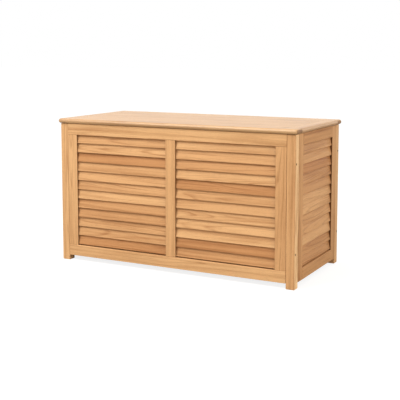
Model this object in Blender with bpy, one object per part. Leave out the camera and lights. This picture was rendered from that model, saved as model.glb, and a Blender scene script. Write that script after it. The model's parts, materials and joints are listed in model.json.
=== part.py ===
"""Deck storage box of solid teak.

Four posts carry a louvred frame on each side. Inside is a slatted floor, and on top a framed lid
with bullnosed edges that turns on two hinges at the back. A slotted stay, pinned to the lid, slides
over a stud in the box and stops the lid just past upright.

Metres, +Z up, front towards -Y, left towards -X. The origin is on the ground under the middle of the box.
"""

import math

import bmesh
import bpy
from mathutils import Vector

MM = 0.001
GAP = 0.3 * MM  # left between pieces that touch

# The box over its posts, without the lid
WIDTH = 1200 * MM
DEPTH = 555 * MM
FRAME_TOP = 662 * MM
FOOT = 25 * MM  # clear height under the frames
POST = 40 * MM
POST_ARRIS = 2.5 * MM

# Boards of the four side frames
BOARD = 51 * MM  # face width of stiles and mullions
BOARD_T = 25 * MM
BOTTOM_RAIL = 52 * MM
TOP_RAIL = 52 * MM
RAIL_PROUD = 0.6 * MM  # rails stand this far in front of posts and stiles
EASE = 1.0 * MM  # eased arris of every sawn board
OPENING_LOW = FOOT + BOTTOM_RAIL
OPENING_HIGH = FRAME_TOP - TOP_RAIL

# Louvres: the lower edge leans out, and each one laps in front of the next one down
LOUVRES = 12
LOUVRE_PITCH = 44.4 * MM
LOUVRE_FIRST = 5.6 * MM  # lowest front edge above the bottom rail's top
LOUVRE_TILT = math.radians(12.5)
LOUVRE_RECESS = 4.5 * MM  # lower front edge behind the frame's face
LOUVRE_H = 46.5 * MM
LOUVRE_LAP = 0.5 * MM  # each louvre bears this deep on the one below
LOUVRE_T = LOUVRE_PITCH * math.sin(LOUVRE_TILT) + LOUVRE_LAP

# Rebates along the uprights, open to the back, which take the louvres' ends
REBATE_LIP = 4 * MM  # wood left in front of a rebate
REBATE_DEPTH = 6 * MM
LOUVRE_TUCK = 5 * MM  # how far a louvre's end runs behind the lip
TOOL_MARGIN = 1 * MM  # how far a cutter runs past what it cuts

# Floor
BEARER_W = 35 * MM
BEARER_H = 20 * MM
BEARER_LOW = 35 * MM
FLOOR_SLATS = 4
FLOOR_SLAT_W = 118 * MM
FLOOR_SLAT_T = 12 * MM
FLOOR_GAP = 9 * MM
FLOOR_END_GAP = 2 * MM  # between the slats' ends and the posts

# Lid
OVERHANG = 10 * MM
LID_T = 22 * MM
LID_GAP = 1 * MM  # between the frames' top and the lid
LID_RAIL = 58 * MM
LID_PLANKS = 4
PLANK_EASE = 0.6 * MM
LID_ROUND = LID_T / 2 - 0.1 * MM  # full bullnose, less a thin flat
LID_LOW = FRAME_TOP + LID_GAP
LID_HIGH = LID_LOW + LID_T
LID_OPEN = math.radians(95)

# Hinges: the axis is behind the back frame, under the lid's overhang
HINGE_X = 400 * MM
HINGE_Y = DEPTH / 2 + RAIL_PROUD + 4.5 * MM
HINGE_Z = LID_LOW - 3.4 * MM
HINGE_LENGTH = 80 * MM
KNUCKLE = 27 * MM  # middle knuckle, on the lid's leaf
KNUCKLE_GAP = 0.5 * MM
BARREL_R = 4.0 * MM
PIN_R = 2.0 * MM
PIN_HEAD_R = 3.0 * MM
PIN_HEAD = 1.2 * MM
LEAF_T = 2 * MM
LEAF_REACH = 34 * MM  # from the axis to the leaf's free edge
LEAF_LIP = 1 * MM  # past the axis, inside the barrel
LEAF_SUNK = 1.4 * MM  # into the lid's rear rail
LEAF_CLEAR = 0.7 * MM  # around the other leaf's knuckles

# Bolts that draw the posts onto the front and back frames
BOLT_INSET = 11 * MM  # from the post's front or back face
BOLT_HEIGHTS = (151 * MM, 537 * MM)
BOLT_R = 3 * MM
BOLT_LENGTH = 68 * MM
BOLT_HEAD_R = 4.5 * MM
BOLT_HEAD = 5 * MM
BOLT_SINK = 1.2 * MM  # head below the post's face
BOLT_SOCKET_R = 2.4 * MM
BOLT_SOCKET = 2.5 * MM
BOLT_CLEAR = 0.5 * MM

# Stay: pivot and stud are equally far from the hinge axis, so the stay turns by half the lid's angle
STAY_R = 200 * MM
PIVOT_DROP = 6.5 * MM  # below the hinge axis
STUD_DROP = 34.5 * MM
STAY_X = 568.2 * MM  # middle plane of the arm
STAY_T = 2 * MM
STAY_HALF_W = 8 * MM
STAY_CLEAR = 0.5 * MM
STUD_R = 3 * MM
STUD_HEAD_R = 6 * MM
STUD_HEAD = 2 * MM
STUD_SHOULDER_R = 7 * MM
STUD_PLAY = 0.8 * MM  # on each side of the arm
RIVET_R = 2.5 * MM
RIVET_HEAD_R = 4.5 * MM
RIVET_HEAD = 1.8 * MM
RIVET_SHOULDER_R = 4 * MM
RIVET_PLAY = 0.4 * MM  # on each side of the arm
BRACKET_HALF = 12 * MM
BRACKET_LEAF = 25 * MM
BRACKET_GAP = 2.2 * MM  # between the arm and the bracket's flange

ROUND = 16  # sides of a small round piece


# ---------------------------------------------------------------- materials and pieces


def new_material(name, colour, roughness, metallic=0.0):
    material = bpy.data.materials.new(name)
    material.use_nodes = True
    shader = material.node_tree.nodes["Principled BSDF"]
    shader.inputs["Base Color"].default_value = (*colour, 1.0)
    shader.inputs["Roughness"].default_value = roughness
    shader.inputs["Metallic"].default_value = metallic
    return material


def new_empty(name, location, turn=0.0):
    empty = bpy.data.objects.new(name, None)
    empty.location = location
    empty.rotation_euler.z = turn
    bpy.context.collection.objects.link(empty)
    return empty


def add_piece(name, shape, location, material, parent=None, smooth=False):
    """Turn a bmesh into a named object, at a location in its parent's frame."""
    bmesh.ops.recalc_face_normals(shape, faces=shape.faces)
    mesh = bpy.data.meshes.new(name)
    shape.to_mesh(mesh)
    shape.free()
    mesh.materials.append(material)
    if smooth:
        mesh.shade_smooth()
        mesh.set_sharp_from_angle(angle=math.radians(35))
    piece = bpy.data.objects.new(name, mesh)
    piece.location = location
    piece.parent = parent
    bpy.context.collection.objects.link(piece)
    return piece


def add_tool(name, shape, location, parent=None):
    """A shape that is only there for a Boolean."""
    tool = add_piece(name, shape, location, TOOL, parent)
    tool.hide_render = True
    tool.display_type = "WIRE"
    return tool


def combine(piece, tool, operation):
    modifier = piece.modifiers.new(tool.name, "BOOLEAN")
    modifier.operation = operation
    modifier.solver = "EXACT"
    modifier.object = tool


# ---------------------------------------------------------------- shapes


def box_shape(size):
    shape = bmesh.new()
    bmesh.ops.create_cube(shape, size=1.0)
    bmesh.ops.scale(shape, vec=size, verts=shape.verts)
    return shape


def extruded(outline, start, end, along="x"):
    """Extrude an outline of (y, z) points along X, or of (x, z) points along Y, from start to end."""
    shape = bmesh.new()
    if along == "x":
        corners = [Vector((start, y, z)) for y, z in outline]
        travel = Vector((end - start, 0, 0))
    else:
        corners = [Vector((x, start, z)) for x, z in outline]
        travel = Vector((0, end - start, 0))
    face = shape.faces.new([shape.verts.new(corner) for corner in corners])
    moved = bmesh.ops.extrude_face_region(shape, geom=[face])["geom"]
    ends = [item for item in moved if isinstance(item, bmesh.types.BMVert)]
    bmesh.ops.translate(shape, vec=travel, verts=ends)
    return shape


def turned(profile, sides=ROUND):
    """Turn a profile of (x, radius) points about the X axis, with flat ends."""
    shape = bmesh.new()
    rings = []
    angles = [2 * math.pi * i / sides for i in range(sides)]
    for x, radius in profile:
        circle = [(x, radius * math.cos(angle), radius * math.sin(angle)) for angle in angles]
        rings.append([shape.verts.new(point) for point in circle])
    for near, far in zip(rings, rings[1:]):
        for i in range(sides):
            j = (i + 1) % sides
            shape.faces.new((near[i], near[j], far[j], far[i]))
    shape.faces.new(rings[0])
    shape.faces.new(rings[-1])
    return shape


def capsule_outline(low, high, radius):
    """Outline in Y and Z, round at both ends, around the line from (0, low) down to (0, high)."""
    half = ROUND // 2
    turn = [math.pi * i / half for i in range(half + 1)]
    top = [(radius * math.cos(a), -low + radius * math.sin(a)) for a in turn]
    bottom = [(-radius * math.cos(a), -high - radius * math.sin(a)) for a in turn]
    return top + bottom


def board(name, low, high, material, parent=None, ease=EASE):
    """A board between two opposite corners, in its parent's frame, with eased arrises."""
    low, high = Vector(low), Vector(high)
    shape = box_shape(high - low)
    bmesh.ops.bevel(shape, geom=shape.edges, offset=ease, segments=1, affect="EDGES", profile=0.5)
    return add_piece(name, shape, (low + high) / 2, material, parent)


# ---------------------------------------------------------------- posts and frames


def post(name, x_side, y_side):
    centre = Vector((x_side * (WIDTH - POST) / 2, y_side * (DEPTH - POST) / 2, FRAME_TOP / 2))
    shape = box_shape((POST, POST, FRAME_TOP))
    bmesh.ops.bevel(
        shape, geom=shape.edges, offset=POST_ARRIS, segments=2, affect="EDGES", profile=0.5
    )
    return add_piece(name, shape, centre, TEAK, smooth=True)


def louvre_outline():
    """One bay's lapped louvres, in depth and height: up the stepped front, down the stepped back."""
    along = Vector((math.sin(LOUVRE_TILT), math.cos(LOUVRE_TILT)))
    across = Vector((math.cos(LOUVRE_TILT), -math.sin(LOUVRE_TILT)))
    front = []
    back = []
    for i in range(LOUVRES):
        foot = Vector((LOUVRE_RECESS, OPENING_LOW + LOUVRE_FIRST + LOUVRE_PITCH * i))
        front.append(foot)
        if i == 0:
            back.append(foot + LOUVRE_T * across)
        if i < LOUVRES - 1:
            front.append(foot + LOUVRE_PITCH * math.cos(LOUVRE_TILT) * along)
            back.append(foot + LOUVRE_H * along + LOUVRE_T * across)
            back.append(foot + LOUVRE_H * along + LOUVRE_LAP * across)
        else:
            height = (OPENING_HIGH - GAP - foot.y) / math.cos(LOUVRE_TILT)
            front.append(foot + height * along)
            back.append(foot + height * along + LOUVRE_T * across)
    return front + back[::-1]


def cutter_box(name, low, high, parent=None):
    """A box-shaped cutter between two opposite corners, in its parent's frame."""
    low, high = Vector(low), Vector(high)
    return add_tool(name, box_shape(high - low), (low + high) / 2, parent)


def louvre_bay(name, left, right, parent):
    """The louvres between two uprights, whose rebates take the louvres' ends."""
    low = left.location.x + BOARD / 2
    high = right.location.x - BOARD / 2
    outline = extruded(louvre_outline(), low - LOUVRE_TUCK, high + LOUVRE_TUCK)
    add_piece(name, outline, (0, 0, 0), TEAK_LOUVRE, parent)
    for end, wood, edge, inward in (("left", left, low, 1), ("right", right, high, -1)):
        sides = sorted((edge - inward * REBATE_DEPTH, edge + inward * TOOL_MARGIN))
        rebate = cutter_box(
            f"{name}_{end}_rebate",
            (sides[0], REBATE_LIP, OPENING_LOW),
            (sides[1], BOARD_T + TOOL_MARGIN, OPENING_HIGH),
            parent,
        )
        combine(wood, rebate, "DIFFERENCE")


def upright(name, left, low, high, parent):
    """A stile or mullion, from its left edge along the frame."""
    return board(name, (left, 0, low), (left + BOARD, BOARD_T, high), TEAK, parent)


def frame_rails(side, half, parent):
    for level, low, high in (("bottom", FOOT, OPENING_LOW), ("top", OPENING_HIGH, FRAME_TOP)):
        board(f"{side}_{level}_rail", (-half, -RAIL_PROUD, low), (half, BOARD_T, high), TEAK, parent)


def long_frame(side, first, second, parent):
    """Front or back frame: the rails run from post to post, with the uprights between them."""
    half = WIDTH / 2 - POST - GAP
    frame_rails(side, half, parent)
    low, high = OPENING_LOW + GAP, OPENING_HIGH - GAP
    mullion = upright(f"{side}_mullion", -BOARD / 2, low, high, parent)
    left = upright(f"{side}_stile_{first}", -half, low, high, parent)
    right = upright(f"{side}_stile_{second}", half - BOARD, low, high, parent)
    louvre_bay(f"{side}_louvres_{first}", left, mullion, parent)
    louvre_bay(f"{side}_louvres_{second}", mullion, right, parent)
    return {first: left, second: right}


def end_frame(side, first, second, parent):
    """Left or right frame: the stiles run full height, with the rails between them."""
    half = DEPTH / 2 - POST - GAP
    frame_rails(side, half - BOARD - GAP, parent)
    left = upright(f"{side}_stile_{first}", -half, FOOT, FRAME_TOP, parent)
    right = upright(f"{side}_stile_{second}", half - BOARD, FOOT, FRAME_TOP, parent)
    louvre_bay(f"{side}_louvres", left, right, parent)


# ---------------------------------------------------------------- bolts


def bolt(name, x_side, y, z, drilled):
    """A socket-head bolt sunk in a post's outer face, and its hole in the pieces that it goes through."""
    place = (x_side * (WIDTH / 2 - BOLT_SINK), y, z)
    profile = [
        (BOLT_SOCKET, BOLT_SOCKET_R),
        (0, BOLT_SOCKET_R),
        (0, BOLT_HEAD_R),
        (BOLT_HEAD, BOLT_HEAD_R),
        (BOLT_HEAD, BOLT_R),
        (BOLT_LENGTH, BOLT_R),
    ]
    piece = add_piece(name, turned(profile, 12), place, BOLT_STEEL, smooth=True)
    hole_profile = [
        (-2 * BOLT_HEAD, BOLT_HEAD_R + BOLT_CLEAR),
        (BOLT_HEAD + GAP, BOLT_HEAD_R + BOLT_CLEAR),
        (BOLT_HEAD + GAP, BOLT_R + BOLT_CLEAR),
        (BOLT_LENGTH + GAP, BOLT_R + BOLT_CLEAR),
    ]
    hole = add_tool(f"{name}_hole", turned(hole_profile, 12), place)
    for item in (piece, hole):
        item.rotation_euler.z = math.pi if x_side > 0 else 0.0
    for wood in drilled:
        combine(wood, hole, "DIFFERENCE")


# ---------------------------------------------------------------- floor


def floor():
    side_x = WIDTH / 2 - BOARD_T - GAP
    side_y = DEPTH / 2 - POST - GAP
    long_y = DEPTH / 2 - BOARD_T - GAP
    top = BEARER_LOW + BEARER_H
    board("floor_bearer_left", (-side_x, -side_y, BEARER_LOW), (BEARER_W - side_x, side_y, top), TEAK)
    board("floor_bearer_middle", (-BEARER_W / 2, -long_y, BEARER_LOW), (BEARER_W / 2, long_y, top), TEAK)
    board("floor_bearer_right", (side_x - BEARER_W, -side_y, BEARER_LOW), (side_x, side_y, top), TEAK)
    half = WIDTH / 2 - POST - FLOOR_END_GAP
    step = FLOOR_SLAT_W + FLOOR_GAP
    first = -(FLOOR_SLATS * step - FLOOR_GAP) / 2
    for i in range(FLOOR_SLATS):
        front = first + i * step
        low = (-half, front, top + GAP)
        high = (half, front + FLOOR_SLAT_W, top + GAP + FLOOR_SLAT_T)
        board(f"floor_slat_{i + 1}", low, high, TEAK)


# ---------------------------------------------------------------- lid


def lid_rail(name, low, high, outer, parent):
    """A board of the lid's frame, bullnosed along the outer sides, such as ("-x", "-y")."""
    low, high = Vector(low), Vector(high)
    shape = box_shape(high - low)
    directions = {"-x": (-1, 0, 0), "+x": (1, 0, 0), "-y": (0, -1, 0), "+y": (0, 1, 0)}
    inner = [Vector(directions[side]) for side in directions if side not in outer]
    rounded = [
        edge
        for edge in shape.edges
        if any(face.normal.z == 0 for face in edge.link_faces)
        and not any(face.normal.dot(side) > 0.5 for face in edge.link_faces for side in inner)
    ]
    bmesh.ops.bevel(shape, geom=rounded, offset=LID_ROUND, segments=5, affect="EDGES", profile=0.5)
    return add_piece(name, shape, (low + high) / 2 - HINGE_AXIS, TEAK_LID, parent, smooth=True)


def lid(parent):
    """The lid's frame and planks. Returns the frame's boards."""
    half_x = WIDTH / 2 + OVERHANG
    half_y = DEPTH / 2 + OVERHANG
    in_x = half_x - LID_RAIL
    in_y = half_y - LID_RAIL
    near, far = GAP - in_y, in_y - GAP
    rails = {
        "front": (-half_x, -half_y, half_x, -in_y, ("-x", "+x", "-y")),
        "rear": (-half_x, in_y, half_x, half_y, ("-x", "+x", "+y")),
        "left": (-half_x, near, -in_x, far, ("-x",)),
        "right": (in_x, near, half_x, far, ("+x",)),
    }
    boards = {}
    for side, (left, front, right, rear, outer) in rails.items():
        low, high = (left, front, LID_LOW), (right, rear, LID_HIGH)
        boards[side] = lid_rail(f"lid_rail_{side}", low, high, outer, parent)
    plank_w = (2 * in_y - (LID_PLANKS + 1) * GAP) / LID_PLANKS
    for i in range(LID_PLANKS):
        front = -in_y + GAP + i * (plank_w + GAP)
        low = Vector((GAP - in_x, front, LID_LOW)) - HINGE_AXIS
        high = Vector((in_x - GAP, front + plank_w, LID_HIGH)) - HINGE_AXIS
        board(f"lid_plank_{i + 1}", low, high, TEAK_LID, parent, PLANK_EASE)
    return boards


# ---------------------------------------------------------------- hinges


def knuckle_cut(name, start, end, place):
    """Room for the other leaf's knuckle between start and end along the barrel."""
    reach = 2 * (BARREL_R + LEAF_CLEAR)
    middle = Vector(((start + end) / 2, 0, 0))
    return add_tool(name, box_shape((end - start, reach, reach)), place + middle)


def hinge(name, x, lid_axis, lid_board):
    """A butt hinge: the outer two knuckles on the frame's leaf, the middle one on the lid's."""
    axis = Vector((x, HINGE_AXIS.y, HINGE_AXIS.z))
    half = HINGE_LENGTH / 2
    middle = KNUCKLE / 2
    frame_face = DEPTH / 2 + RAIL_PROUD + GAP - HINGE_AXIS.y
    lid_face = LID_LOW + LEAF_SUNK - HINGE_AXIS.z

    down = [(frame_face, -LEAF_REACH), (frame_face + LEAF_T, -LEAF_REACH)]
    down += [(frame_face + LEAF_T, LEAF_LIP), (frame_face, LEAF_LIP)]
    frame_leaf = add_piece(
        f"{name}_frame_leaf", extruded(down, -half, half), axis, STEEL, smooth=True
    )

    forward = [(-LEAF_REACH, lid_face - LEAF_T), (LEAF_LIP, lid_face - LEAF_T)]
    forward += [(LEAF_LIP, lid_face), (-LEAF_REACH, lid_face)]
    lid_leaf = add_piece(
        f"{name}_lid_leaf", extruded(forward, -half, half), (x, 0, 0), STEEL, lid_axis, smooth=True
    )

    pocket_low = (x - half - GAP, -LEAF_REACH - GAP, lid_face - LEAF_T)
    pocket_high = (x + half + GAP, 2 * HINGE_LENGTH, lid_face + GAP)
    combine(lid_board, cutter_box(f"{name}_pocket", pocket_low, pocket_high, lid_axis), "DIFFERENCE")

    barrel = add_tool(f"{name}_barrel", turned([(-half, BARREL_R), (half, BARREL_R)]), axis)
    bore_r = PIN_R + GAP
    bore = add_tool(f"{name}_bore", turned([(-2 * half, bore_r), (2 * half, bore_r)]), axis)
    gap = KNUCKLE_GAP
    cuts = {
        frame_leaf: [knuckle_cut(f"{name}_cut_middle", -middle - gap, middle + gap, axis)],
        lid_leaf: [
            knuckle_cut(f"{name}_cut_left", -half - gap, -middle, axis),
            knuckle_cut(f"{name}_cut_right", middle, half + gap, axis),
        ],
    }
    for leaf, tools in cuts.items():
        combine(leaf, barrel, "UNION")
        for tool in tools:
            combine(leaf, tool, "DIFFERENCE")
        combine(leaf, bore, "DIFFERENCE")

    shank = half + GAP
    profile = [
        (-shank - PIN_HEAD, PIN_HEAD_R),
        (-shank, PIN_HEAD_R),
        (-shank, PIN_R),
        (shank, PIN_R),
        (shank, PIN_HEAD_R),
        (shank + PIN_HEAD, PIN_HEAD_R),
    ]
    add_piece(f"{name}_pin", turned(profile), axis, STEEL, smooth=True)


# ---------------------------------------------------------------- stay


def on_stay_circle(drop):
    """The point in the arm's plane at STAY_R from the hinge axis, this far below it."""
    return Vector((STAY_X, HINGE_AXIS.y - math.sqrt(STAY_R**2 - drop**2), HINGE_AXIS.z - drop))


def stay(lid_axis):
    pivot = on_stay_circle(PIVOT_DROP)
    stud = on_stay_circle(STUD_DROP)
    closed_angle = math.asin(STUD_DROP / STAY_R) - math.asin(PIVOT_DROP / STAY_R)
    slot_start = 2 * STAY_R * math.sin(closed_angle / 2)
    slot_end = 2 * STAY_R * math.sin((closed_angle + LID_OPEN) / 2)
    stay_arm(pivot, stud, slot_start, slot_end, lid_axis)
    stay_bracket(pivot, lid_axis)
    stay_stud(stud)


def stay_arm(pivot, stud, slot_start, slot_end, lid_axis):
    """The slotted arm, which hangs from the pivot."""
    pivot_axis = new_empty("stay_axis", pivot - HINGE_AXIS)
    pivot_axis.parent = lid_axis
    pivot_axis.rotation_euler.x = math.atan2(stud.y - pivot.y, pivot.z - stud.z)
    outline = capsule_outline(0, slot_end + 2 * STUD_R, STAY_HALF_W)
    arm_shape = extruded(outline, -STAY_T / 2, STAY_T / 2)
    arm = add_piece("stay_arm", arm_shape, (0, 0, 0), STEEL, pivot_axis, smooth=True)
    slot = extruded(capsule_outline(slot_start, slot_end, STUD_R + STAY_CLEAR), -STAY_T, STAY_T)
    combine(arm, add_tool("stay_slot", slot, (0, 0, 0), pivot_axis), "DIFFERENCE")
    eye = turned([(-STAY_T, RIVET_R + GAP), (STAY_T, RIVET_R + GAP)])
    combine(arm, add_tool("stay_eye", eye, (0, 0, 0), pivot_axis), "DIFFERENCE")


def stay_bracket(pivot, lid_axis):
    """The angle bracket under the lid, with the rivet that the arm turns on."""
    leaf_high = LID_LOW - GAP - pivot.z
    flange = -STAY_T / 2 - BRACKET_GAP
    corner = flange - STAY_T
    angle = [
        (corner, -STAY_HALF_W),
        (flange, -STAY_HALF_W),
        (flange, leaf_high),
        (flange - BRACKET_LEAF, leaf_high),
        (flange - BRACKET_LEAF, leaf_high - STAY_T),
        (corner, leaf_high - STAY_T),
    ]
    shape = extruded(angle, -BRACKET_HALF, BRACKET_HALF, along="y")
    bracket = add_piece("stay_bracket", shape, pivot - HINGE_AXIS, STEEL, lid_axis, smooth=True)
    near = -STAY_T / 2 - RIVET_PLAY
    far = STAY_T / 2 + RIVET_PLAY
    rivet = [
        (flange - STAY_T / 2, RIVET_SHOULDER_R),
        (near, RIVET_SHOULDER_R),
        (near, RIVET_R),
        (far, RIVET_R),
        (far, RIVET_HEAD_R),
        (far + RIVET_HEAD, RIVET_HEAD_R),
    ]
    rivet_tool = add_tool("stay_rivet", turned(rivet), pivot - HINGE_AXIS, lid_axis)
    combine(bracket, rivet_tool, "UNION")


def stay_stud(stud):
    """The stud in the right top rail, with a shoulder behind the arm and a head in front of it."""
    wall = WIDTH / 2 - BOARD_T - GAP - STAY_X
    edge = STAY_T / 2 + STUD_PLAY
    profile = [
        (wall, STUD_SHOULDER_R),
        (edge, STUD_SHOULDER_R),
        (edge, STUD_R),
        (-edge, STUD_R),
        (-edge, STUD_HEAD_R),
        (-edge - STUD_HEAD, STUD_HEAD_R),
    ]
    add_piece("stay_stud", turned(profile), stud, STEEL, smooth=True)


# ---------------------------------------------------------------- the box


def build():
    posts = {}
    for y_name, y_side in (("front", -1), ("rear", 1)):
        for x_name, x_side in (("left", -1), ("right", 1)):
            posts[y_name, x_name] = post(f"post_{y_name}_{x_name}", x_side, y_side)

    quarter = math.pi / 2
    front_face = new_empty("front_face", (0, -DEPTH / 2, 0))
    rear_face = new_empty("rear_face", (0, DEPTH / 2, 0), 2 * quarter)
    stiles = {
        "front": long_frame("front", "left", "right", front_face),
        "rear": long_frame("rear", "right", "left", rear_face),
    }
    end_frame("right", "front", "rear", new_empty("right_face", (WIDTH / 2, 0, 0), quarter))
    end_frame("left", "rear", "front", new_empty("left_face", (-WIDTH / 2, 0, 0), -quarter))

    for y_name, y_side in (("front", -1), ("rear", 1)):
        bolt_y = y_side * (DEPTH / 2 - BOLT_INSET)
        for x_name, x_side in (("left", -1), ("right", 1)):
            drilled = (posts[y_name, x_name], stiles[y_name][x_name])
            for level, height in zip(("lower", "upper"), BOLT_HEIGHTS):
                bolt(f"bolt_{y_name}_{x_name}_{level}", x_side, bolt_y, height, drilled)

    floor()
    lid_axis = new_empty("lid_axis", HINGE_AXIS)
    rear_board = lid(lid_axis)["rear"]
    hinge("hinge_left", -HINGE_X, lid_axis, rear_board)
    hinge("hinge_right", HINGE_X, lid_axis, rear_board)
    stay(lid_axis)


for old in list(bpy.data.objects):
    bpy.data.objects.remove(old, do_unlink=True)

HINGE_AXIS = Vector((0, HINGE_Y, HINGE_Z))
TEAK = new_material("teak_frame", (0.68, 0.40, 0.18), 0.55)
TEAK_LOUVRE = new_material("teak_louvre", (0.64, 0.35, 0.15), 0.55)
TEAK_LID = new_material("teak_lid", (0.76, 0.52, 0.29), 0.5)
STEEL = new_material("stainless_steel", (0.62, 0.61, 0.59), 0.3, 1.0)
BOLT_STEEL = new_material("dark_bolt_steel", (0.10, 0.09, 0.08), 0.4, 1.0)
TOOL = new_material("boolean_tool", (0.5, 0.5, 0.5), 1.0)

build()
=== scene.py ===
"""Looks of the teak deck storage box: wood and metal materials, louvres, small fittings, studio."""

import json
import math
import random

import bmesh
import bpy
from mathutils import Euler, Matrix, Vector

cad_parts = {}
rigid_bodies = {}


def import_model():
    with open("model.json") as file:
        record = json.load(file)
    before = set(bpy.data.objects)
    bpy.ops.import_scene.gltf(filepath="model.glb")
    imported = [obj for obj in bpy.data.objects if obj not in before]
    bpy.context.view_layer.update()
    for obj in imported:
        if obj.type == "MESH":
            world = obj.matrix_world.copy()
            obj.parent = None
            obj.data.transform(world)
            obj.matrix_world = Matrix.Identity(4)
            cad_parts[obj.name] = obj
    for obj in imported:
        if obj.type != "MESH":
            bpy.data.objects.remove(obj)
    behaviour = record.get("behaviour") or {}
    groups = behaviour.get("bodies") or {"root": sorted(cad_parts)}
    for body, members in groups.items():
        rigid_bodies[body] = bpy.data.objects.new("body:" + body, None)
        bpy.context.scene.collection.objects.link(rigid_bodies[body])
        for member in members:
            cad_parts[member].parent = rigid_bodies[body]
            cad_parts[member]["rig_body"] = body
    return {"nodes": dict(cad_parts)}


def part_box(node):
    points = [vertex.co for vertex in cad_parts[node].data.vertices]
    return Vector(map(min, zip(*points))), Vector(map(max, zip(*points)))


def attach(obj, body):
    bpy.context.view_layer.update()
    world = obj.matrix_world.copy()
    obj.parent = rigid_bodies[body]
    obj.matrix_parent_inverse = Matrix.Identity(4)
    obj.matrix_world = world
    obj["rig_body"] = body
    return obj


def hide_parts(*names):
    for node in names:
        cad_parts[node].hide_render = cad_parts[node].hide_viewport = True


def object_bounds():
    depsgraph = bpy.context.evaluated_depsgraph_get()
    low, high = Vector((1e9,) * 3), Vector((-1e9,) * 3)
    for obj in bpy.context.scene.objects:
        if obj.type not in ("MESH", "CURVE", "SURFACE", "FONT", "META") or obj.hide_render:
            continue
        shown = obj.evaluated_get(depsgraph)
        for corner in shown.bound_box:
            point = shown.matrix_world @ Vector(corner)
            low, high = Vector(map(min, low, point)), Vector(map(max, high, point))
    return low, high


MM = 0.001

# Louvres, placed as in the CAD model's banks, where each one laps the next
LOUVRES = 12
LOUVRE_PITCH = 44.4 * MM
LOUVRE_TILT = math.radians(12.5)
LOUVRE_H = 46.5 * MM
LOUVRE_LAP = 0.5 * MM
LOUVRE_BANK_T = LOUVRE_PITCH * math.sin(LOUVRE_TILT) + LOUVRE_LAP  # thickness in the CAD bank
LOUVRE_T = 9.2 * MM
LOUVRE_ROUND = 1.2 * MM
LOUVRE_STATIONS = 12  # cross-sections along a louvre, which let it bow a little
LOUVRE_BOW = 0.35 * MM
LOUVRE_TONES = {"pale": 0.1, "even": 0.35, "warm": 0.6, "red": 0.9}

# Wood: linear colours, and what they are multiplied by
EARLY_WOOD = (0.750, 0.435, 0.200)
LATE_WOOD = (0.385, 0.165, 0.058)
KNOT_WOOD = (0.24, 0.085, 0.028)
PORE_WOOD = (0.22, 0.10, 0.04)
RED_SHIFT = (0.70, 0.56, 0.47)  # a reddish board
END_SHIFT = (0.60, 0.54, 0.50)  # end grain
PLAIN = (1.0, 1.0, 1.0)
LID_SHADE = (0.80, 0.81, 0.76)
RECESS_PAINTED_SHADE = (0.36, 0.33, 0.31)  # painted shade on the uprights' inner edges, which face into the shadowed louvre recesses
SAPWOOD = {  # the X faces of posts that have pale sapwood there
    "post_front_right": (1.62, 2.02, 2.45),
    "post_rear_right": (1.12, 1.20, 1.28),
}
FRAME_GLOSS = 0.12
LID_GLOSS = 0.75
GRAIN_BUMP = 0.25 * MM

# The wood's figure. Frequencies are to the metre: along the grain, then in both directions across it.
RING = 4.2 * MM  # spacing of the growth rings
WANDER = (1.3, 6.0, 6.0)
WANDER_REACH = 30 * MM
RIPPLES = (7.0, 60.0, 60.0)
RIPPLE_REACH = 0.8  # in rings
STREAKS = (3.0, 110.0, 110.0)
CLOUDS = (2.2, 11.0, 11.0)
FIBRES = (24.0, 1300.0, 1300.0)
PORES = (70.0, 1700.0, 1700.0)
KNOTS = (2.4, 8.0, 8.0)
KNOT_EDGE = (0.035, 0.07)  # where a knot starts to fade and where it ends, in cells of KNOTS
KNOT_REACH = 0.24  # how far off the rings bend, in cells
KNOT_PUSH = 2.2  # in rings

# How boards lie in the tree
TREE_HEIGHT = (2.0, 30.0)
PITH_ACROSS = 0.9  # off the board's middle, as a share of its width
PITH_DEPTH = (22 * MM, 75 * MM)
SIDE_SAWN_SHARE = 0.3
SIDE_SAWN_ACROSS = (80 * MM, 150 * MM)
GRAIN_SLOPE = 1.3  # degrees

# Tones of boards, from pale (0) to reddish (1). A board that isn't named draws its own from a spread.
TONES = {
    "post_front_left": 0.0,
    "front_stile_left": 0.1,
    "front_top_rail": 0.0,
    "front_bottom_rail": 0.0,
    "front_mullion": 0.2,
    "front_stile_right": 0.35,
    "post_front_right": 0.3,
    "right_stile_front": 0.35,
    "right_stile_rear": 0.3,
    "right_top_rail": 0.5,
    "right_bottom_rail": 0.5,
}
LID_TONES = (0.0, 0.12)
FRAME_TONES = (0.1, 0.5)
BATTEN_TONE = 0.35

# Each bay's directions, and its louvres' tones from the top down
X = Vector((1, 0, 0))
Y = Vector((0, 1, 0))
Z = Vector((0, 0, 1))
BAYS = {
    "front_louvres_left": (X, -Y, "even pale red even even even pale warm warm even even red"),
    "front_louvres_right": (X, -Y, "pale even warm pale red even even pale pale pale red warm"),
    "right_louvres": (Y, X, "even even red warm warm pale pale even even pale warm warm"),
    "left_louvres": (Y, -X, "even warm pale even red even pale even even warm pale warm"),
    "rear_louvres_left": (X, Y, "even pale even warm pale even warm pale even pale red even"),
    "rear_louvres_right": (X, Y, "pale even pale even warm red even even pale warm even even"),
}

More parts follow.
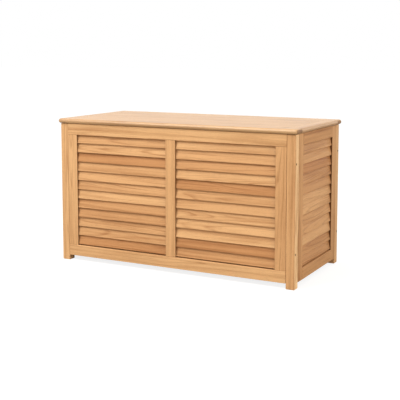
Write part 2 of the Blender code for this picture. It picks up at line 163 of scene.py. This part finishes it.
# Fittings
STEEL = (0.62, 0.61, 0.59)
DARK_STEEL = (0.022, 0.020, 0.018)
BRUSH_LINES = (60.0, 4000.0, 4000.0)  # to the metre
SMUDGES = (45.0, 45.0, 45.0)
BRUSH_BUMP = 0.05 * MM
LEAF_T = 2 * MM
BOLT_R = 3 * MM
BOLT_HEAD = 5 * MM
BOLT_CHAMFER = 0.5 * MM
SOCKET_R = 2.9 * MM  # over the hexagon's corners
SOCKET_DEPTH = 2.8 * MM
SCREW_R = 3.4 * MM
SCREW_SUNK = 0.3 * MM
SCREW_DOME = 0.7 * MM
SCREW_RECESS = 0.5 * MM  # depth of the cross recess
SCREW_BAR = (1.3, 0.24)  # length and width of one bar of the cross, in head radii
SCREW_EDGE = 9 * MM  # from a leaf's or the bracket's edge
HINGE_SCREW_STEPS = (-30 * MM, 0.0, 30 * MM)
BRACKET_SCREW_STEPS = (-6 * MM, 6 * MM)

BATTEN_X = 265 * MM
BATTEN_W = 38 * MM
BATTEN_T = 16 * MM
BATTEN_GAP = 0.3 * MM  # between batten and planks
BATTEN_INSET = 12 * MM
BATTEN_ROUND = 3 * MM
BATTEN_SCREWS = 5
BATTEN_SCREW_INSET = 0.06  # of the batten's length, at either end

BOARD_ROUND = 0.4 * MM
FITTING_ROUND = 0.25 * MM
ROUND_ANGLE = math.radians(25)  # the bluntest arris of a CAD piece that is rounded
SHARP_ANGLE = math.radians(35)  # the bluntest edge of an added piece that is shaded sharp

# Studio
WHITE = (1.0, 1.0, 1.0, 1.0)
ROOM_LIGHT = 0.66
BACK_WALL = 1.1
FLOOR_SIZE = 60.0
FLOOR_LIT = (0.42, 0.415, 0.405, 1.0)  # as the light meets it
FLOOR_SEEN = (0.26, 0.255, 0.245, 1.0)  # as it is looked at, with a glow added
FLOOR_GLOW = 0.84
LIGHTS = {  # place, size, watts, colour
    "key": ((-1.8, -3.0, 3.7), 2.2, 150.0, (1.0, 1.0, 1.0)),
    "top": ((-0.6, -1.3, 4.0), 2.0, 35.0, (1.0, 1.0, 1.0)),
    "fill": ((4.0, -1.6, 2.4), 2.5, 64.0, (1.0, 0.86, 0.68)),
}
CAMERA_PLACE = (1.8998, -3.6233, 1.0267)
CAMERA_DOWN = 0.1078  # radians, below the horizontal
CAMERA_AROUND = 0.4817  # radians, about Z
CAMERA_LENS = 77.85
CAMERA_SHIFT = -0.15


# ---------------------------------------------------------------- node graphs


class Graph:
    """Short ways to add nodes to a node tree. A value is a socket or a constant."""

    def __init__(self, tree):
        self.tree = tree

    def feed(self, socket, value):
        if isinstance(value, bpy.types.NodeSocket):
            self.tree.links.new(value, socket)
        else:
            socket.default_value = value

    def node(self, kind, inputs=None, **settings):
        made = self.tree.nodes.new(f"ShaderNode{kind}")
        for key, value in settings.items():
            setattr(made, key, value)
        for socket, value in (inputs or {}).items():
            self.feed(made.inputs[socket], value)
        return made

    def math(self, operation, *values, clamp=False):
        made = self.node("Math", operation=operation, use_clamp=clamp)
        for socket, value in zip(made.inputs, values):
            self.feed(socket, value)
        return made.outputs[0]

    def vector(self, operation, *values):
        made = self.node("VectorMath", operation=operation)
        for socket, value in zip(made.inputs, values):
            self.feed(socket, value)
        return made.outputs["Value" if operation == "LENGTH" else "Vector"]

    def noise(self, vector, stretch, detail=2.0, rough=0.5, output="Fac"):
        scaled = self.vector("MULTIPLY", vector, stretch)
        made = self.node("TexNoise", {"Vector": scaled, "Scale": 1.0, "Detail": detail, "Roughness": rough})
        return made.outputs[output]

    def ramp(self, value, stops):
        """A smooth curve through (value, level) stops."""
        made = self.node("ValToRGB", {"Fac": value})
        made.color_ramp.interpolation = "EASE"
        elements = made.color_ramp.elements
        while len(elements) < len(stops):
            elements.new(0.5)
        for element, (place, level) in zip(elements, stops):
            element.position = place
            element.color = (level, level, level, 1.0)
        return made.outputs["Color"]

    def mix(self, factor, first, second, mode="MIX"):
        made = self.node("Mix", data_type="RGBA", blend_type=mode)
        for socket, value in zip((made.inputs[0], made.inputs[6], made.inputs[7]), (factor, first, second)):
            self.feed(socket, (*value, 1.0) if isinstance(value, tuple) else value)
        return made.outputs[2]

    def range(self, value, low, high):
        """From low to high as the value goes from 0 to 1."""
        made = self.node("MapRange", {"Value": value, "To Min": low, "To Max": high})
        return made.outputs[0]

    def fall(self, value, start, end, kind="LINEAR"):
        """From 1 down to 0 as the value goes from start to end."""
        inputs = {"Value": value, "From Min": end, "From Max": start}
        return self.node("MapRange", inputs, interpolation_type=kind).outputs[0]


def grain_group():
    """Solid wood in a board's own space, in metres: X along the grain, and the pith on the X axis."""
    tree = bpy.data.node_groups.new("teak_grain", "ShaderNodeTree")
    for name, kind in (("Grain", "Vector"), ("Tone", "Float"), ("End", "Float")):
        tree.interface.new_socket(name, in_out="INPUT", socket_type=f"NodeSocket{kind}")
    for name, kind in (("Color", "Color"), ("Roughness", "Float"), ("Height", "Float")):
        tree.interface.new_socket(name, in_out="OUTPUT", socket_type=f"NodeSocket{kind}")
    given = tree.nodes.new("NodeGroupInput").outputs
    result = tree.nodes.new("NodeGroupOutput").inputs
    g = Graph(tree)
    grain = given["Grain"]

    # Rings about the pith, which wanders slowly along the board
    wander = g.vector("SUBTRACT", g.noise(grain, WANDER, 1.0, output="Color"), (0.5, 0.5, 0.5))
    wander = g.vector("MULTIPLY", wander, (0.0, WANDER_REACH, WANDER_REACH))
    flat = g.vector("MULTIPLY", g.vector("ADD", grain, wander), (0.0, 1.0, 1.0))
    radius = g.math("DIVIDE", g.vector("LENGTH", flat), RING)

    # Sparse knots, which the rings flow round
    cells = g.node("TexVoronoi", {"Vector": g.vector("MULTIPLY", grain, KNOTS), "Scale": 1.0})
    away = cells.outputs["Distance"]
    knot = g.fall(away, *KNOT_EDGE)
    bend = g.fall(away, 0.0, KNOT_REACH, "SMOOTHSTEP")
    radius = g.math("MULTIPLY_ADD", bend, KNOT_PUSH, radius)

    ripple = g.math("MULTIPLY", g.noise(grain, RIPPLES, 2.0), RIPPLE_REACH)
    ring = g.math("ADD", radius, ripple)
    late = g.ramp(g.math("FRACT", ring), [(0.0, 0.35), (0.12, 0.0), (0.55, 0.12), (0.9, 1.0), (1.0, 0.35)])
    strength = g.node("TexWhiteNoise", {"W": g.math("FLOOR", ring)}, noise_dimensions="1D").outputs["Value"]
    late = g.math("MULTIPLY", late, g.range(strength, 0.25, 1.0))
    slow = {"W": g.math("MULTIPLY", ring, 0.21), "Scale": 1.0, "Detail": 1.5}
    band = g.math("SUBTRACT", g.node("TexNoise", slow, noise_dimensions="1D").outputs["Fac"], 0.5)

    # Streaks, broad clouds, fibres and open pores along the grain
    streak = g.math("SUBTRACT", g.noise(grain, STREAKS, 3.0, 0.6), 0.5)
    cloud = g.math("SUBTRACT", g.noise(grain, CLOUDS, 2.0), 0.5)
    fibre = g.math("SUBTRACT", g.noise(grain, FIBRES, 2.0, 0.6), 0.5)
    pore = g.ramp(g.noise(grain, PORES, 1.0), [(0.60, 0.0), (0.72, 1.0)])

    # From pale early wood to dark late wood, then the marks and tones over it
    dark = g.math("MULTIPLY_ADD", late, 0.50, 0.06)
    for part, amount in ((band, 1.35), (streak, 1.2), (cloud, 0.95), (fibre, 0.6)):
        dark = g.math("MULTIPLY_ADD", part, amount, dark)
    dark = g.math("ADD", dark, 0.0, clamp=True)
    colour = g.mix(dark, EARLY_WOOD, LATE_WOOD)
    colour = g.mix(g.math("MULTIPLY", knot, 0.75), colour, KNOT_WOOD)
    colour = g.mix(g.math("MULTIPLY", pore, 0.35), colour, PORE_WOOD)
    colour = g.mix(given["Tone"], colour, g.mix(1.0, colour, RED_SHIFT, "MULTIPLY"))
    colour = g.mix(given["End"], colour, g.mix(1.0, colour, END_SHIFT, "MULTIPLY"))
    g.feed(result["Color"], colour)

    rough = g.math("MULTIPLY_ADD", fibre, 0.22, 0.55)
    rough = g.math("MULTIPLY_ADD", late, -0.06, rough)
    g.feed(result["Roughness"], g.math("MULTIPLY_ADD", given["End"], 0.22, rough))
    height = g.math("MULTIPLY_ADD", late, 0.35, g.math("MULTIPLY", fibre, 0.5))
    g.feed(result["Height"], g.math("MULTIPLY_ADD", pore, -0.6, height))
    return tree


def teak_shader(g, grain, tone, end, gloss=FRAME_GLOSS, shade=PLAIN):
    """Finish a teak material. Its grain space, tone, end grain and shade are sockets or constants."""
    group = g.tree.nodes.new("ShaderNodeGroup")
    group.node_tree = GRAIN
    for name, value in (("Grain", grain), ("Tone", tone), ("End", end)):
        g.feed(group.inputs[name], value)
    shader = g.tree.nodes["Principled BSDF"]
    bump = g.node("Bump", {"Height": group.outputs["Height"], "Strength": 0.35, "Distance": GRAIN_BUMP})
    g.feed(shader.inputs["Base Color"], g.mix(1.0, group.outputs["Color"], shade, "MULTIPLY"))
    g.feed(shader.inputs["Roughness"], g.math("MULTIPLY_ADD", gloss, -0.15, group.outputs["Roughness"]))
    g.feed(shader.inputs["Normal"], bump.outputs["Normal"])
    shader.inputs["Specular IOR Level"].default_value = gloss


def new_material(name):
    material = bpy.data.materials.new(name)
    material.use_nodes = True
    return material, Graph(material.node_tree)


def grain_matrix(seed, width):
    """Where a board was in its tree: from the board's own space to the grain space."""
    dice = random.Random(seed)
    across = dice.uniform(-PITH_ACROSS, PITH_ACROSS) * width
    depth = dice.uniform(*PITH_DEPTH) * dice.choice((-1, 1))
    if dice.random() < SIDE_SAWN_SHARE:
        across = dice.choice((-1, 1)) * dice.uniform(*SIDE_SAWN_ACROSS)
    slope = [math.radians(dice.uniform(-GRAIN_SLOPE, GRAIN_SLOPE)) for _ in range(2)]
    place = Matrix.Translation((dice.uniform(*TREE_HEIGHT), across, depth))
    return place @ Euler((0, *slope)).to_matrix().to_4x4()


def board_material(name, low, high, tone, gloss=FRAME_GLOSS, shade=PLAIN, side=None):
    """Teak for one board between two corners: the grain runs along its longest side.

    side holds an axis and what the faces square to it are multiplied by: pale sapwood, or painted shade on
    recessed edges.
    """
    size = high - low
    long, wide, thick = sorted(range(3), key=lambda axis: -size[axis])
    material, g = new_material(f"teak_{name}")
    place = g.node("TexCoord")
    axes = g.node("SeparateXYZ", {0: place.outputs["Object"]})
    own = g.node("CombineXYZ", {i: axes.outputs[axis] for i, axis in enumerate((long, wide, thick))})
    centre = (low + high) / 2
    shift = Matrix.Translation([-centre[axis] for axis in (long, wide, thick)])
    matrix = grain_matrix(name, size[wide]) @ shift
    mapping = g.node("Mapping", {"Vector": own.outputs[0]})
    mapping.inputs["Location"].default_value = matrix.to_translation()
    mapping.inputs["Rotation"].default_value = matrix.to_euler()
    normal = g.node("SeparateXYZ", {0: place.outputs["Normal"]})
    end = g.ramp(g.math("ABSOLUTE", normal.outputs[long]), [(0.55, 0.0), (0.85, 1.0)])
    if side:
        axis, side_shade = side
        facing = g.ramp(g.math("ABSOLUTE", normal.outputs[axis]), [(0.60, 0.0), (0.85, 1.0)])
        shade = g.mix(facing, shade, side_shade)
    teak_shader(g, mapping.outputs[0], tone, end, gloss, shade)
    return material


def louvre_material():
    material, g = new_material("teak_louvres")
    grain = g.node("Attribute", attribute_name="grain")
    tone = g.node("Attribute", attribute_name="tone")
    teak_shader(g, grain.outputs["Vector"], tone.outputs["Fac"], 0.0)
    return material


def metal_material(name, colour, roughness, brushed):
    """Metal with fine brush lines along X and faint smudges."""
    material, g = new_material(name)
    place = g.node("TexCoord").outputs["Object"]
    lines = g.noise(place, BRUSH_LINES, 3.0, 0.6)
    smudge = g.noise(place, SMUDGES, 3.0, 0.55)
    shader = g.tree.nodes["Principled BSDF"]
    dull = tuple(0.8 * channel for channel in colour)
    g.feed(shader.inputs["Base Color"], g.mix(g.ramp(smudge, [(0.35, 0.0), (0.75, 1.0)]), colour, dull))
    rough = g.math("MULTIPLY_ADD", g.math("SUBTRACT", lines, 0.5), brushed, roughness)
    rough = g.math("MULTIPLY_ADD", g.math("SUBTRACT", smudge, 0.5), 0.25, rough)
    g.feed(shader.inputs["Roughness"], rough)
    shader.inputs["Metallic"].default_value = 1.0
    bump = g.node("Bump", {"Height": lines, "Strength": 0.15, "Distance": BRUSH_BUMP})
    g.feed(shader.inputs["Normal"], bump.outputs["Normal"])
    return material


# ---------------------------------------------------------------- pieces


def add_piece(name, shape, body, material):
    """Turn a bmesh, in the frame's own coordinates, into a piece that rides on a body."""
    bmesh.ops.recalc_face_normals(shape, faces=shape.faces)
    mesh = bpy.data.meshes.new(name)
    shape.to_mesh(mesh)
    shape.free()
    mesh.shade_smooth()
    mesh.set_sharp_from_angle(angle=SHARP_ANGLE)
    mesh.materials.append(material)
    piece = bpy.data.objects.new(name, mesh)
    bpy.context.scene.collection.objects.link(piece)
    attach(piece, body)
    return piece


def round_outline(width, height, radius, steps=4):
    """Outline of a rounded rectangle from (0, 0) to (width, height)."""
    points = []
    corners = ((width, height, 0), (0, height, 1), (0, 0, 2), (width, 0, 3))
    for x, y, quarter in corners:
        middle = Vector((abs(x - radius), abs(y - radius)))
        for i in range(steps + 1):
            angle = math.pi / 2 * (quarter + i / steps)
            points.append(middle + radius * Vector((math.cos(angle), math.sin(angle))))
    return points


def skin(shape, rings):
    """Faces along a list of rings of vertices, with closed ends."""
    for near, far in zip(rings, rings[1:]):
        for i in range(len(near)):
            j = (i + 1) % len(near)
            shape.faces.new((near[i], near[j], far[j], far[i]))
    shape.faces.new(rings[0])
    shape.faces.new(rings[-1])


def louvre_bank(node, along, outward, tones):
    """Separate louvres in place of a CAD bank, along one direction and facing outward in another."""
    low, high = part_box(node)
    face = max(low.dot(outward), high.dot(outward))
    start = min(low.dot(along), high.dot(along))
    length = max(low.dot(along), high.dot(along)) - start
    bottom = low.z + LOUVRE_BANK_T * math.sin(LOUVRE_TILT)
    rise = Z * math.cos(LOUVRE_TILT) - outward * math.sin(LOUVRE_TILT)
    inward = -outward * math.cos(LOUVRE_TILT) - Z * math.sin(LOUVRE_TILT)
    shape = bmesh.new()
    grain_layer = shape.verts.layers.float_vector.new("grain")
    tone_layer = shape.verts.layers.float.new("tone")
    for i in range(LOUVRES):
        dice = random.Random(f"{node}_{i}")
        foot = outward * face + Z * (bottom + LOUVRE_PITCH * i) + along * start
        tall = LOUVRE_H
        if i == LOUVRES - 1:
            tall = (high.z - foot.z) / math.cos(LOUVRE_TILT)
        outline = round_outline(tall, LOUVRE_T, LOUVRE_ROUND)
        matrix = grain_matrix(f"{node}_grain_{i}", LOUVRE_H)
        tone = LOUVRE_TONES[tones.split()[LOUVRES - 1 - i]]
        bow = dice.uniform(0, LOUVRE_BOW)
        waves = dice.uniform(0.5, 1.6)
        phase = dice.uniform(0, math.tau)
        rings = []
        for k in range(LOUVRE_STATIONS + 1):
            share = k / LOUVRE_STATIONS
            place = length * share
            sag = bow * (0.5 + 0.5 * math.sin(phase + math.tau * waves * share)) * math.sin(math.pi * share)
            ring = []
            for across, deep in outline:
                vert = shape.verts.new(foot + along * place + rise * across + inward * (deep + sag))
                vert[grain_layer] = matrix @ Vector((place - length / 2, across - tall / 2, deep))
                vert[tone_layer] = tone
                ring.append(vert)
            rings.append(ring)
        skin(shape, rings)
    body = frame["nodes"][node]["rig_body"]
    piece = add_piece(f"{node}_slats", shape, body, LOUVRE_TEAK)
    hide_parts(node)


def turned(shape, profile, place, axis, sides=24):
    """Turn (distance along axis, radius) points about an axis through place."""
    axis = axis.normalized()
    side = axis.orthogonal().normalized()
    other = axis.cross(side)
    rings = []
    for distance, radius in profile:
        angles = [math.tau * i / sides for i in range(sides)]
        spokes = [side * math.cos(angle) + other * math.sin(angle) for angle in angles]
        rings.append([shape.verts.new(place + axis * distance + spoke * radius) for spoke in spokes])
    skin(shape, rings)


def carved(solid, tool):
    """The first bmesh less the second, as a new bmesh."""
    items = []
    for shape in (solid, tool):
        bmesh.ops.recalc_face_normals(shape, faces=shape.faces)
        mesh = bpy.data.meshes.new("carving")
        shape.to_mesh(mesh)
        shape.free()
        items.append(bpy.data.objects.new("carving", mesh))
        bpy.context.scene.collection.objects.link(items[-1])
    cut = items[0].modifiers.new("cut", "BOOLEAN")
    cut.operation = "DIFFERENCE"
    cut.solver = "EXACT"
    cut.object = items[1]
    evaluated = items[0].evaluated_get(bpy.context.evaluated_depsgraph_get())
    result = bmesh.new()
    result.from_mesh(evaluated.to_mesh())
    for item in items:
        bpy.data.objects.remove(item, do_unlink=True)
    return result


def socket_bolt(node):
    """A socket-head bolt with a chamfered head and a hexagonal socket, in place of a plain CAD one."""
    low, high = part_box(node)
    centre = (low + high) / 2
    right = centre.x > 0
    head_face = Vector((high.x if right else low.x, centre.y, centre.z))
    head_r = (high.y - low.y) / 2
    length = high.x - low.x
    axis = -X if right else X
    profile = [
        (0, head_r - BOLT_CHAMFER),
        (BOLT_CHAMFER, head_r),
        (BOLT_HEAD, head_r),
        (BOLT_HEAD, BOLT_R),
        (length - BOLT_CHAMFER, BOLT_R),
        (length, BOLT_R - BOLT_CHAMFER),
    ]
    solid = bmesh.new()
    turned(solid, profile, head_face, axis)
    socket = bmesh.new()
    turned(socket, [(-BOLT_HEAD, SOCKET_R), (SOCKET_DEPTH, SOCKET_R)], head_face, axis, sides=6)
    body = frame["nodes"][node]["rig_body"]
    piece = add_piece(f"{node}_detail", carved(solid, socket), body, DARK_BOLT)
    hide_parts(node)


def screw_shape():
    """A shallow domed screw head with a cross recess, at the origin, facing +Z."""
    profile = [(-SCREW_SUNK, SCREW_R)]
    for i in range(6):
        angle = math.pi / 2 * i / 6
        profile.append((SCREW_DOME * math.sin(angle), SCREW_R * math.cos(angle)))
    solid = bmesh.new()
    turned(solid, profile, Vector((0, 0, 0)), Z)
    for long, wide in (SCREW_BAR, SCREW_BAR[::-1]):
        bar = bmesh.new()
        bmesh.ops.create_cube(bar, size=1.0)
        bmesh.ops.scale(bar, vec=(long * SCREW_R, wide * SCREW_R, 2 * SCREW_RECESS), verts=bar.verts)
        bmesh.ops.translate(bar, vec=(0, 0, SCREW_DOME), verts=bar.verts)
        solid = carved(solid, bar)
    return solid


def screws(name, places, axis, body, turn_seed=1):
    """One piece holding a screw head at each place, facing along axis."""
    dice = random.Random(turn_seed)
    facing = axis.to_track_quat("Z", "Y").to_matrix().to_4x4()
    one = bpy.data.meshes.new("screw")
    head = screw_shape()
    head.to_mesh(one)
    head.free()
    shape = bmesh.new()
    for place in places:
        before = set(shape.verts)
        shape.from_mesh(one)
        turn = Matrix.Rotation(dice.uniform(0, math.pi), 4, "Z")
        new = [vert for vert in shape.verts if vert not in before]
        bmesh.ops.transform(shape, matrix=Matrix.Translation(place) @ facing @ turn, verts=new)
    add_piece(name, shape, body, STAINLESS)


def hinge_screws():
    for side in ("left", "right"):
        low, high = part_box(f"hinge_{side}_frame_leaf")
        middle = (low.x + high.x) / 2
        face = low.y + LEAF_T
        height = low.z + SCREW_EDGE
        places = [Vector((middle + step, face, height)) for step in HINGE_SCREW_STEPS]
        screws(f"hinge_{side}_frame_screws", places, Y, "box", side)
        low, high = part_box(f"hinge_{side}_lid_leaf")
        face = high.z - LEAF_T
        places = [Vector((middle + step, low.y + SCREW_EDGE, face)) for step in HINGE_SCREW_STEPS]
        screws(f"hinge_{side}_lid_screws", places, -Z, "lid", side)


def bracket_screws():
    low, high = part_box("stay_bracket")
    middle = (low.y + high.y) / 2
    height = high.z - LEAF_T
    places = [Vector((low.x + SCREW_EDGE, middle + step, height)) for step in BRACKET_SCREW_STEPS]
    screws("stay_bracket_screws", places, -Z, "lid")


def lid_battens():
    """Two battens across the underside of the lid's planks, each with a row of screws."""
    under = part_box("lid_plank_1")[0].z - BATTEN_GAP
    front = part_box("lid_plank_1")[0].y
    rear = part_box("lid_plank_4")[1].y
    places = []
    for name, x in (("left", -BATTEN_X), ("right", BATTEN_X)):
        low = Vector((x - BATTEN_W / 2, front + BATTEN_INSET, under - BATTEN_T))
        high = Vector((x + BATTEN_W / 2, rear - BATTEN_INSET, under))
        shape = bmesh.new()
        bmesh.ops.create_cube(shape, size=1.0)
        bmesh.ops.scale(shape, vec=high - low, verts=shape.verts)
        bmesh.ops.translate(shape, vec=(low + high) / 2, verts=shape.verts)
        lower = [edge for edge in shape.edges if all(vert.co.z < under - MM for vert in edge.verts)]
        bmesh.ops.bevel(shape, geom=lower, offset=BATTEN_ROUND, segments=4, affect="EDGES", profile=0.5)
        material = board_material(f"batten_{name}", low, high, BATTEN_TONE)
        add_piece(f"lid_batten_{name}", shape, "lid", material)
        step = (1 - 2 * BATTEN_SCREW_INSET) / (BATTEN_SCREWS - 1)
        shares = [BATTEN_SCREW_INSET + step * k for k in range(BATTEN_SCREWS)]
        places += [Vector((x, low.y + (high.y - low.y) * share, low.z)) for share in shares]
    screws("lid_batten_screws", places, -Z, "lid")


def soften(node, width):
    """Round the arrises of a CAD piece a little more, and shade it smoothly."""
    piece = frame["nodes"][node]
    piece.data.shade_smooth()
    weld = piece.modifiers.new("weld", "WELD")
    weld.merge_threshold = 0.02 * MM
    dissolve = piece.modifiers.new("dissolve", "DECIMATE")
    dissolve.decimate_type = "DISSOLVE"
    dissolve.angle_limit = math.radians(0.5)
    bevel = piece.modifiers.new("bevel", "BEVEL")
    bevel.width = width
    bevel.segments = 2
    bevel.limit_method = "ANGLE"
    bevel.angle_limit = ROUND_ANGLE
    normals = piece.modifiers.new("normals", "WEIGHTED_NORMAL")
    normals.keep_sharp = True
    normals.weight = 100


def swap_material(node, material):
    slots = frame["nodes"][node].data.materials
    slots.clear()
    slots.append(material)


def finish_board(node):
    """Teak and softened arrises for a CAD board."""
    lid_board = frame["nodes"][node].data.materials[0].name == "teak_lid"
    spread = LID_TONES if lid_board else FRAME_TONES
    tone = TONES.get(node, random.Random(f"tone_{node}").uniform(*spread))
    gloss, shade = (LID_GLOSS, LID_SHADE) if lid_board else (FRAME_GLOSS, PLAIN)
    side = None
    if node in SAPWOOD:
        side = (0, SAPWOOD[node])
    elif "stile" in node or "mullion" in node:
        # painted shade on the inner edges of stiles and mullions, standing in for the shadow in the louvre
        # recesses
        side = (0 if node.startswith(("front", "rear")) else 1, RECESS_PAINTED_SHADE)
    low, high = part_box(node)
    swap_material(node, board_material(node, low, high, tone, gloss, shade, side))
    soften(node, BOARD_ROUND)


# ---------------------------------------------------------------- studio


def new_world():
    """White to look at, and for the light dimmer and even, with a brighter wall behind the box."""
    world = bpy.data.worlds.new("studio")
    world.use_nodes = True
    tree = world.node_tree
    tree.nodes.clear()
    g = Graph(tree)
    way = g.node("SeparateXYZ", {0: g.node("TexCoord").outputs["Generated"]})
    behind = g.fall(way.outputs["Y"], 0.8, 0.2)
    low = g.fall(way.outputs["Z"], 0.1, 0.55)
    glow = g.math("MULTIPLY", g.math("MULTIPLY", behind, low), BACK_WALL)
    strength = g.math("ADD", glow, ROOM_LIGHT)
    light = g.node("Background", {"Color": WHITE, "Strength": strength})
    white = g.node("Background", {"Color": WHITE, "Strength": 1.0})
    seen = g.node("LightPath").outputs["Is Camera Ray"]
    both = g.node("MixShader", {0: seen, 1: light.outputs[0], 2: white.outputs[0]})
    g.feed(g.node("OutputWorld").inputs["Surface"], both.outputs[0])
    return world


def floor_material():
    """Pale grey to the light, and close to white where it is looked at."""
    material, g = new_material("floor_pale")
    g.tree.nodes.clear()
    matt = g.node("BsdfDiffuse", {"Color": FLOOR_LIT})
    pale = g.node("BsdfDiffuse", {"Color": FLOOR_SEEN})
    glow = g.node("Emission", {"Color": WHITE, "Strength": FLOOR_GLOW})
    bright = g.node("AddShader", {0: pale.outputs[0], 1: glow.outputs[0]})
    seen = g.node("LightPath").outputs["Is Camera Ray"]
    both = g.node("MixShader", {0: seen, 1: matt.outputs[0], 2: bright.outputs[0]})
    g.feed(g.node("OutputMaterial").inputs["Surface"], both.outputs[0])
    return material


def add_light(name, place, size, watts, colour, target):
    lamp = bpy.data.lights.new(name, "AREA")
    lamp.size = size
    lamp.energy = watts
    lamp.color = colour
    light = bpy.data.objects.new(name, lamp)
    light.location = place
    light.rotation_euler = (Vector(place) - target).to_track_quat("Z", "Y").to_euler()
    bpy.context.scene.collection.objects.link(light)


def studio():
    bpy.context.scene.world = new_world()
    bpy.context.scene.view_settings.view_transform = "Standard"
    bpy.ops.mesh.primitive_plane_add(size=FLOOR_SIZE, location=(0, 0, 0))
    floor = bpy.context.object
    floor.name = "floor"
    floor.data.materials.append(floor_material())
    for name, light in LIGHTS.items():
        add_light(name, *light, (cad_low + cad_high) / 2)

    lens = bpy.data.cameras.new("camera")
    lens.lens = CAMERA_LENS
    lens.sensor_width = 36.0
    lens.shift_y = CAMERA_SHIFT
    camera = bpy.data.objects.new("camera", lens)
    camera.location = CAMERA_PLACE
    camera.rotation_euler = (math.pi / 2 - CAMERA_DOWN, 0.0, CAMERA_AROUND)
    bpy.context.scene.collection.objects.link(camera)
    bpy.context.scene.camera = camera


# ---------------------------------------------------------------- the box

for old in list(bpy.data.objects):
    bpy.data.objects.remove(old, do_unlink=True)

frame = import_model()
cad_low, cad_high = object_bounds()

GRAIN = grain_group()
LOUVRE_TEAK = louvre_material()
STAINLESS = metal_material("brushed_stainless", STEEL, 0.30, 0.25)
DARK_BOLT = metal_material("dark_bolt_steel", DARK_STEEL, 0.42, 0.15)

for name, node in frame["nodes"].items():
    if name in BAYS:
        continue
    if name.startswith("bolt"):
        socket_bolt(name)
    elif node.data.materials[0].name.startswith("teak"):
        finish_board(name)
    else:
        swap_material(name, STAINLESS)
        soften(name, FITTING_ROUND)

for name, (along, outward, tones) in BAYS.items():
    louvre_bank(name, along, outward, tones)

lid_battens()
hinge_screws()
bracket_screws()
studio()
